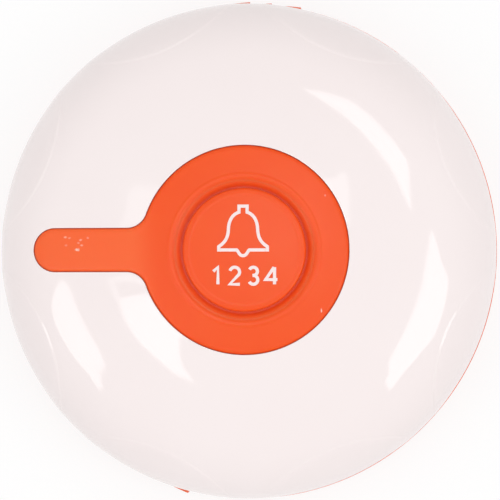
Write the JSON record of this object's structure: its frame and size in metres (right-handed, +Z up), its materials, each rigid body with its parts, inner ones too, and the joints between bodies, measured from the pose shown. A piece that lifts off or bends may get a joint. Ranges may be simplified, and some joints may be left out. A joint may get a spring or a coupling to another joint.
{
  "type": "waiter call button",
  "caption": "Round domed table call button with a silicone push disc, a keyhole-shaped keypad and a twist-off base.",
  "frame": {"origin": "on the axis of the round body, on the face of the pad that meets the table", "axes": "+Z up through the push disc; the tongue of the keypad points to -X; the printed bell stands up along +Y"},
  "size_m": [0.0752, 0.0755, 0.026],
  "materials": {
    "base_orange": "satin",
    "pad_rubber": "matte",
    "cover_white": "gloss",
    "seal_rubber": "matte",
    "keypad_orange": "matte",
    "web_orange": "matte",
    "ink_white": "matte",
    "inner_plastic": "matte",
    "screw_steel": "satin",
    "board_green": "satin",
    "black_plastic": "matte",
    "sheet_steel": "satin",
    "plunger_red": "satin",
    "led_white": "matte",
    "led_clear": "gloss",
    "ceramic_grey": "satin",
    "copper": "satin",
    "ceramic_tan": "matte",
    "tantalum_yellow": "satin",
    "battery_sleeve": "gloss"
  },
  "bodies": {
    "base": {"base": "base_orange", "non_slip_pad": "pad_rubber"},
    "housing": {"top_cover": "cover_white", "seal_ring": "seal_rubber", "rubber_surround": "keypad_orange", "flex_web": "web_orange", "clamp_plate": "inner_plastic", "chassis": "inner_plastic", "chassis_screws": "screw_steel", "circuit_board": "board_green", "switch_body": "black_plastic", "switch_cover": "sheet_steel", "switch_legs": "sheet_steel", "led_body": "led_white", "led_lens": "led_clear", "encoder_chip": "black_plastic", "encoder_leads": "sheet_steel", "rf_transistor": "black_plastic", "saw_resonator": "ceramic_grey", "antenna_coil": "copper", "chip_resistors": "black_plastic", "chip_capacitors": "ceramic_tan", "tantalum_capacitor": "tantalum_yellow", "battery_can": "battery_sleeve", "battery_nub": "sheet_steel", "contact_spring": "sheet_steel", "contact_minus": "sheet_steel", "contact_plus": "sheet_steel"},
    "button": {"push_disc": "keypad_orange", "bell_mark": "ink_white", "number_mark": "ink_white"},
    "plunger": {"switch_plunger": "plunger_red"}
  },
  "joints": [
    {"name": "cover_twist", "type": "hinge", "parent": "base", "child": "housing", "pos_m": [0, 0, 0], "axis": [0, 0, 1], "range_deg": [0, 30]},
    {"name": "button_press", "type": "slide", "parent": "housing", "child": "button", "axis": [0, 0, -1], "range_m": [0, 0.0004], "stiffness_N_per_m": 5000, "springref_m": -0.00005, "deforming": ["flex_web"]},
    {"name": "plunger_travel", "type": "slide", "parent": "housing", "child": "plunger", "axis": [0, 0, -1], "range_m": [0, 0.0004]}
  ],
  "couplings": [
    {"joint": "plunger_travel", "follows": "button_press", "ratio": 1}
  ]
}
